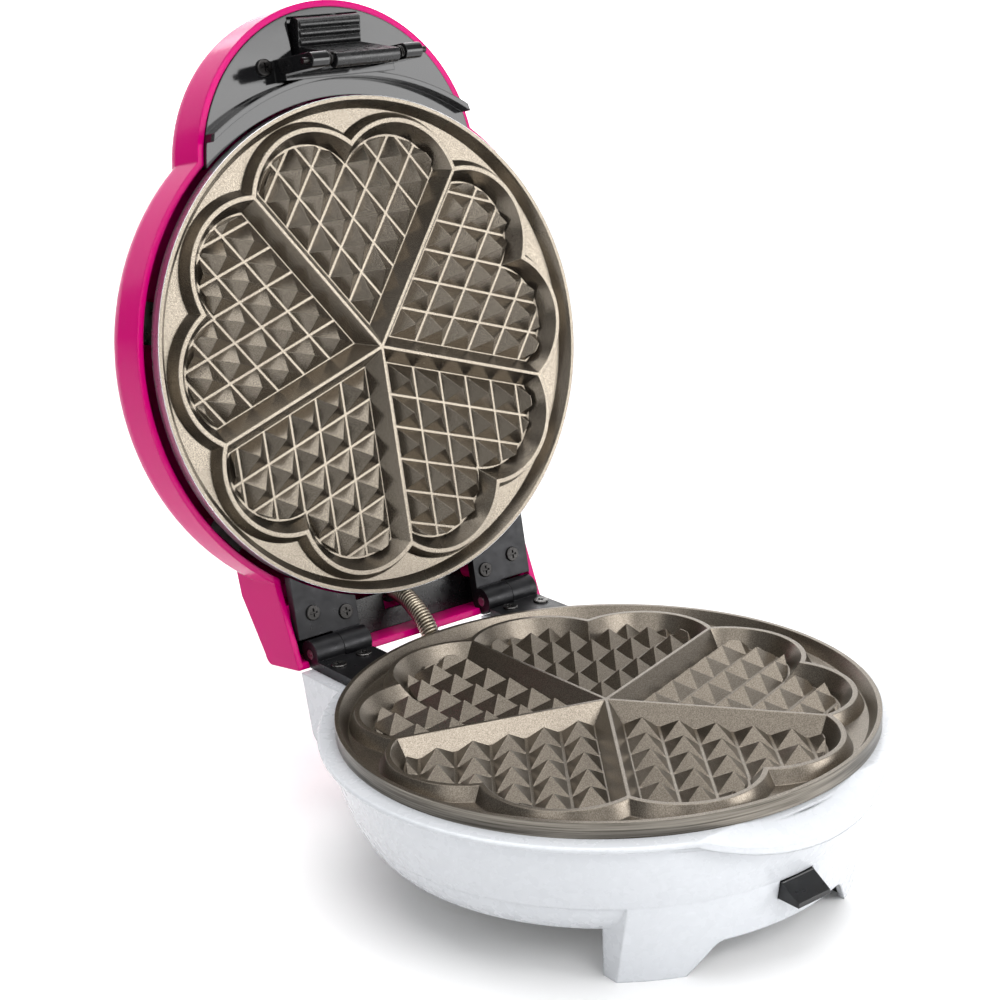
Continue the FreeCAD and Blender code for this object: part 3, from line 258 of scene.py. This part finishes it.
def coated_plate(name, coating, band, polish, placement=BASE_FRAME):
    """Bronze-grey non-stick coating on the cast plates, and streaked bare metal on their turned side; the
    upper plate's side colours are painted paler as a painted reflection.
    """
    shader = Shader(name, placement).set(Metallic=0.92, Specular_IOR_Level=0.4)
    side = shader.span(shader.distance_from_axis(), PLATE_TOP_RADIUS, PLATE_SIDE_RADIUS)
    speckle = shader.span(shader.noise(scale=2600.0, detail=4.0), 0.38, 0.66)
    streaks = shader.span(shader.noise(scale=30.0, detail=8.0, stretch=(1.0, 1.0, 60.0)), 0.35, 0.65)
    shader.colour(shader.blend(side, shader.blend(speckle, *coating), shader.blend(streaks, *band)))
    patches = shader.span(shader.noise(scale=18.0, detail=5.0), 0.3, 0.7, 0.27, 0.35)
    shader.roughness(shader.math("MULTIPLY", patches, polish))
    cast = shader.noise(scale=1400.0, detail=2.0)
    shader.relief(cast, distance=0.03 * MM, strength=0.3, edge=0.45 * MM)
    return shader.material


def metal(name, tint, roughness, edge=0.2 * MM, placement=BASE_FRAME, metallic=1.0, streak=None):
    """Drawn, rolled or plated metal; streak squeezes its marks along the axes."""
    shader = Shader(name, placement).set(Metallic=metallic)
    darker = tuple(c * 0.62 for c in tint)
    stains = shader.span(shader.noise(scale=140.0, detail=5.0), 0.35, 0.7)
    shader.colour(shader.blend(stains, darker, tint))
    marks = shader.noise(scale=220.0, detail=5.0, stretch=streak)
    shader.roughness(shader.span(marks, 0.3, 0.7, roughness - 0.08, roughness + 0.12))
    grain = shader.noise(scale=500.0, detail=3.0, stretch=streak)
    shader.relief(grain, distance=0.04 * MM, strength=0.5, edge=edge)
    return shader.material


def lens(name, tint, placement):
    """Tinted lamp lens with a faintly prismatic body."""
    shader = Shader(name, placement).set(Roughness=0.12, Transmission_Weight=0.55, IOR=1.49)
    shader.colour(shader.blend(shader.noise(scale=300.0), tint, tuple(c * 0.6 for c in tint)))
    shader.relief(shader.noise(scale=700.0, detail=1.0), distance=0.1 * MM, strength=0.3)
    return shader.material


def paint(material, *names):
    """Give CAD nodes a material in all their slots."""
    for name in names:
        mesh = frame["nodes"][name].data
        if not mesh.materials:
            mesh.materials.append(material)
        for index in range(len(mesh.materials)):
            mesh.materials[index] = material


def paint_shells_and_plates():
    paint(gloss_shell("magenta_gloss", MAGENTA, DEEP_MAGENTA, roughness=0.13, shine=0.05,
                      placement=LID_FRAME), "lid_shell")
    paint(gloss_shell("white_gloss", WHITE, DULL_WHITE, roughness=0.26, shine=0.35), "base_shell")
    paint(coated_plate("lower_coating", LOWER_COATING, LOWER_BAND, polish=1.0), "lower_plate")
    # The upper plate's side colours carry a painted reflection.
    paint(coated_plate("upper_coating", UPPER_COATING, UPPER_BAND_PAINTED_REFLECTION, polish=0.85, placement=LID_FRAME),
          "upper_plate")


def paint_plastics():
    paint(moulded("lid_black", LID_BLACK, roughness=0.27, grain=1500.0, edge=0.6 * MM, placement=LID_FRAME),
          "latch_lever", "lamp_holder", "conduit_clamp", "lid_liner")
    paint(gloss_black("bezel_black", BEZEL_BLACK, LID_FRAME), "lid_bezel")
    paint(moulded("base_black", BASE_BLACK, roughness=0.32, grain=1500.0, edge=0.5 * MM),
          "front_catch", "cord_gland", "conduit_grommet")
    paint(moulded("foot_rubber", RUBBER_BLACK, roughness=0.75, grain=900.0, edge=0.4 * MM), "foot_pads")
    paint(moulded("fuse_sleeve", SLEEVE_CREAM, roughness=0.8, grain=2500.0, edge=0.2 * MM),
          "lower_fuse", "upper_fuse")
    paint(moulded("terminal_ceramic", CERAMIC_CREAM, roughness=0.25, grain=300.0, edge=0.3 * MM),
          "terminal_block")
    paint(moulded("cover_enamel", ENAMEL_GREY, roughness=0.45, grain=700.0, edge=0.3 * MM), "base_cover")
    paint(lens("red_lens", LAMP_RED, LID_FRAME), "lamp_lens_red")
    paint(lens("green_lens", LAMP_GREEN, LID_FRAME), "lamp_lens_green")


def paint_metals():
    drawn = (1.0, 1.0, 8.0)
    paint(metal("lid_zinc", ZINC, roughness=0.32, placement=LID_FRAME, streak=drawn),
          "upper_plate_screws", "upper_carrier", "upper_shield", "upper_thermostat")
    paint(metal("base_zinc", ZINC, roughness=0.32, streak=drawn),
          "cover_screws", "hinge_pin_left", "hinge_pin_right",
          "lower_plate_screws", "lower_carrier", "lower_shield", "lower_thermostat")
    painted = {"roughness": 0.34, "edge": 0.4 * MM, "metallic": 0.55}
    paint(metal("lid_charcoal", CHARCOAL, placement=LID_FRAME, **painted),
          "hinge_leaf_lid_left", "hinge_leaf_lid_right")
    paint(metal("base_charcoal", CHARCOAL, **painted), "hinge_leaf_base_left", "hinge_leaf_base_right")
    paint(metal("black_zinc", LID_SCREW_BLACK, roughness=0.30, placement=LID_FRAME),
          "bezel_screws", "hinge_screws_lid", "latch_pin", "latch_spring")
    paint(metal("base_black_zinc", BASE_SCREW_BLACK, roughness=0.24), "hinge_screws_base")
    paint(metal("heater_sheath", SHEATH_GREY, roughness=0.55), "lower_heater", "upper_heater")


# ---------------------------------------------------------------- the wound conduit


def conduit_route():
    """Points along the conduit's centre line, by the arcs and runs of the CAD tube."""
    low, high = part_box("spring_conduit")
    points = [Vector(((low.x + high.x) / 2, low.y + CONDUIT_RADIUS, low.z))]
    heading = 0.0

    def step(length):
        points.append(points[-1] + Vector((0, math.sin(heading), math.cos(heading))) * length)

    def run(length):
        steps = max(2, int(length / ROUTE_STEP))
        for _ in range(steps):
            step(length / steps)

    run(CONDUIT_ENTRY)
    for radius, target, length in CONDUIT_BENDS:
        to_turn = math.radians(target) - heading
        steps = max(6, int(abs(to_turn) * radius / ROUTE_STEP))
        turn = to_turn / steps
        for _ in range(steps):
            heading += turn / 2
            step(radius * abs(turn))
            heading += turn / 2
        run(length)
    return points


def distances_along(route):
    """Distance run from the start to each point of a route."""
    lengths = [0.0]
    for first, second in zip(route, route[1:]):
        lengths.append(lengths[-1] + (second - first).length)
    return lengths


def winding(route):
    """Vertices and faces of a wire wound along a route: its rings, one after another, and two caps."""
    lengths = distances_along(route)
    coil_radius = CONDUIT_RADIUS - WIRE_RADIUS
    count = int(lengths[-1] / WINDING_PITCH * POINTS_PER_TURN)
    across = Vector((1, 0, 0))
    vertices = []
    segment = 0
    for index in range(count + 1):
        travelled = lengths[-1] * index / count
        while segment < len(route) - 2 and lengths[segment + 1] < travelled:
            segment += 1
        part = (travelled - lengths[segment]) / (lengths[segment + 1] - lengths[segment])
        centre = route[segment].lerp(route[segment + 1], part)
        ahead = (route[segment + 1] - route[segment]).normalized()
        upward = ahead.cross(across)
        angle = 2 * math.pi * index / POINTS_PER_TURN
        outward = across * math.cos(angle) + upward * math.sin(angle)
        for side in range(WIRE_SIDES):
            around = 2 * math.pi * side / WIRE_SIDES
            off_axis = outward * (coil_radius + WIRE_RADIUS * math.cos(around))
            vertices.append(centre + off_axis + ahead * (WIRE_RADIUS * math.sin(around)))
    faces = []
    for ring in range(count):
        for side in range(WIRE_SIDES):
            a = ring * WIRE_SIDES + side
            b = ring * WIRE_SIDES + (side + 1) % WIRE_SIDES
            faces.append((a, b, b + WIRE_SIDES, a + WIRE_SIDES))
    faces.append(tuple(reversed(range(WIRE_SIDES))))
    faces.append(tuple(range(count * WIRE_SIDES, (count + 1) * WIRE_SIDES)))
    return vertices, faces


def wound_conduit():
    """Close-wound wire round the conduit's route, in place of the plain CAD tube.

    It bends from just outside the grommet to just short of the clamp.
    """
    route = conduit_route()
    vertices, faces = winding(route)
    mesh = bpy.data.meshes.new("conduit_winding")
    mesh.from_pydata(vertices, [], faces)
    mesh.validate()
    mesh.materials.append(metal("conduit_steel", WINDING_STEEL, roughness=0.34, edge=0.0))
    for polygon in mesh.polygons:
        polygon.use_smooth = True
    piece = bpy.data.objects.new("conduit_winding", mesh)
    bpy.context.collection.objects.link(piece)
    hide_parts("spring_conduit")
    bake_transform(piece)


# ---------------------------------------------------------------- studio


def sheet(name, corners, material):
    """A flat stretch of the studio; it is not part of the appliance."""
    mesh = bpy.data.meshes.new(name)
    mesh.from_pydata(corners, [], [(0, 1, 2, 3)])
    mesh.materials.append(material)
    piece = bpy.data.objects.new(name, mesh)
    bpy.context.collection.objects.link(piece)


def studio():
    """Pale floor, and a lit backdrop beyond it."""
    reach = STUDIO_REACH
    pale = Shader("floor_white").set(Roughness=0.5, Specular_IOR_Level=0.2)
    pale.colour(pale.blend(pale.noise(scale=3.0), (0.95, 0.95, 0.95), (0.92, 0.92, 0.92)))
    sheet("floor", [(-reach, -reach, 0), (reach, -reach, 0), (reach, reach, 0), (-reach, reach, 0)],
          pale.material)
    glow = Shader("backdrop_white").set(Roughness=0.8, Emission_Strength=BACKDROP_GLOW)
    glow.set(Emission_Color=(1.0, 1.0, 1.0, 1.0))
    glow.colour(glow.blend(glow.noise(scale=2.0), (0.95, 0.95, 0.95), (0.90, 0.90, 0.90)))
    far_left, near_right = (BACKDROP_LEFT, reach), (reach, BACKDROP_NEAR)
    sheet("backdrop", [(*far_left, 0), (*near_right, 0), (*near_right, reach), (*far_left, reach)],
          glow.material)


def softbox(name, place, size, power, target=LIGHT_TARGET):
    """Rectangular light that faces a target; size is its width and height, power in watts."""
    light = bpy.data.lights.new(name, "AREA")
    light.shape = "RECTANGLE"
    light.size, light.size_y = size
    light.energy = power
    lamp = bpy.data.objects.new(name, light)
    lamp.location = place
    lamp.rotation_euler = (Vector(target) - Vector(place)).to_track_quat("-Z", "Y").to_euler()
    bpy.context.collection.objects.link(lamp)


def lights():
    softbox("key", place=(0.83, -1.12, 0.30), size=(0.75, 0.7), power=10.5, target=KEY_TARGET)
    softbox("fill", place=(-1.5, -0.9, 1.1), size=(1.3, 1.3), power=10.0)
    softbox("front", place=(0.05, -1.4, 1.25), size=(1.3, 0.7), power=15.0)
    softbox("top", place=(0.0, 0.1, 1.7), size=(1.6, 1.6), power=24.0)
    softbox("rim", place=(0.7, 1.7, 1.3), size=(1.0, 1.0), power=8.0)


def sky():
    """Even white world, and a view transform that keeps white white and magenta saturated."""
    world = bpy.data.worlds.new("studio")
    bpy.context.scene.world = world
    world.use_nodes = True
    background = world.node_tree.nodes["Background"]
    background.inputs["Color"].default_value = (1.0, 1.0, 1.0, 1.0)
    background.inputs["Strength"].default_value = SKY_STRENGTH
    bpy.context.scene.view_settings.view_transform = "Standard"


def camera():
    """The photograph's viewpoint."""
    azimuth, elevation, roll = (math.radians(angle) for angle in CAMERA_ANGLES)
    back = Vector((math.sin(azimuth) * math.cos(elevation), -math.cos(azimuth) * math.cos(elevation),
                   math.sin(elevation)))
    right = Vector((math.cos(azimuth), math.sin(azimuth), 0))
    upward = back.cross(right)
    turned_right = right * math.cos(roll) + upward * math.sin(roll)
    turned_up = upward * math.cos(roll) - right * math.sin(roll)
    data = bpy.data.cameras.new("camera")
    data.sensor_width = CAMERA_SENSOR_MM
    data.lens = CAMERA_LENS_MM
    data.clip_start = CAMERA_NEAREST
    eye = bpy.data.objects.new("camera", data)
    axes = Matrix((turned_right, turned_up, back)).transposed().to_4x4()
    eye.matrix_world = Matrix.Translation(CAMERA_PLACE) @ axes
    bpy.context.collection.objects.link(eye)
    bpy.context.scene.camera = eye


paint_shells_and_plates()
paint_plastics()
paint_metals()
wound_conduit()
studio()
lights()
sky()
camera()
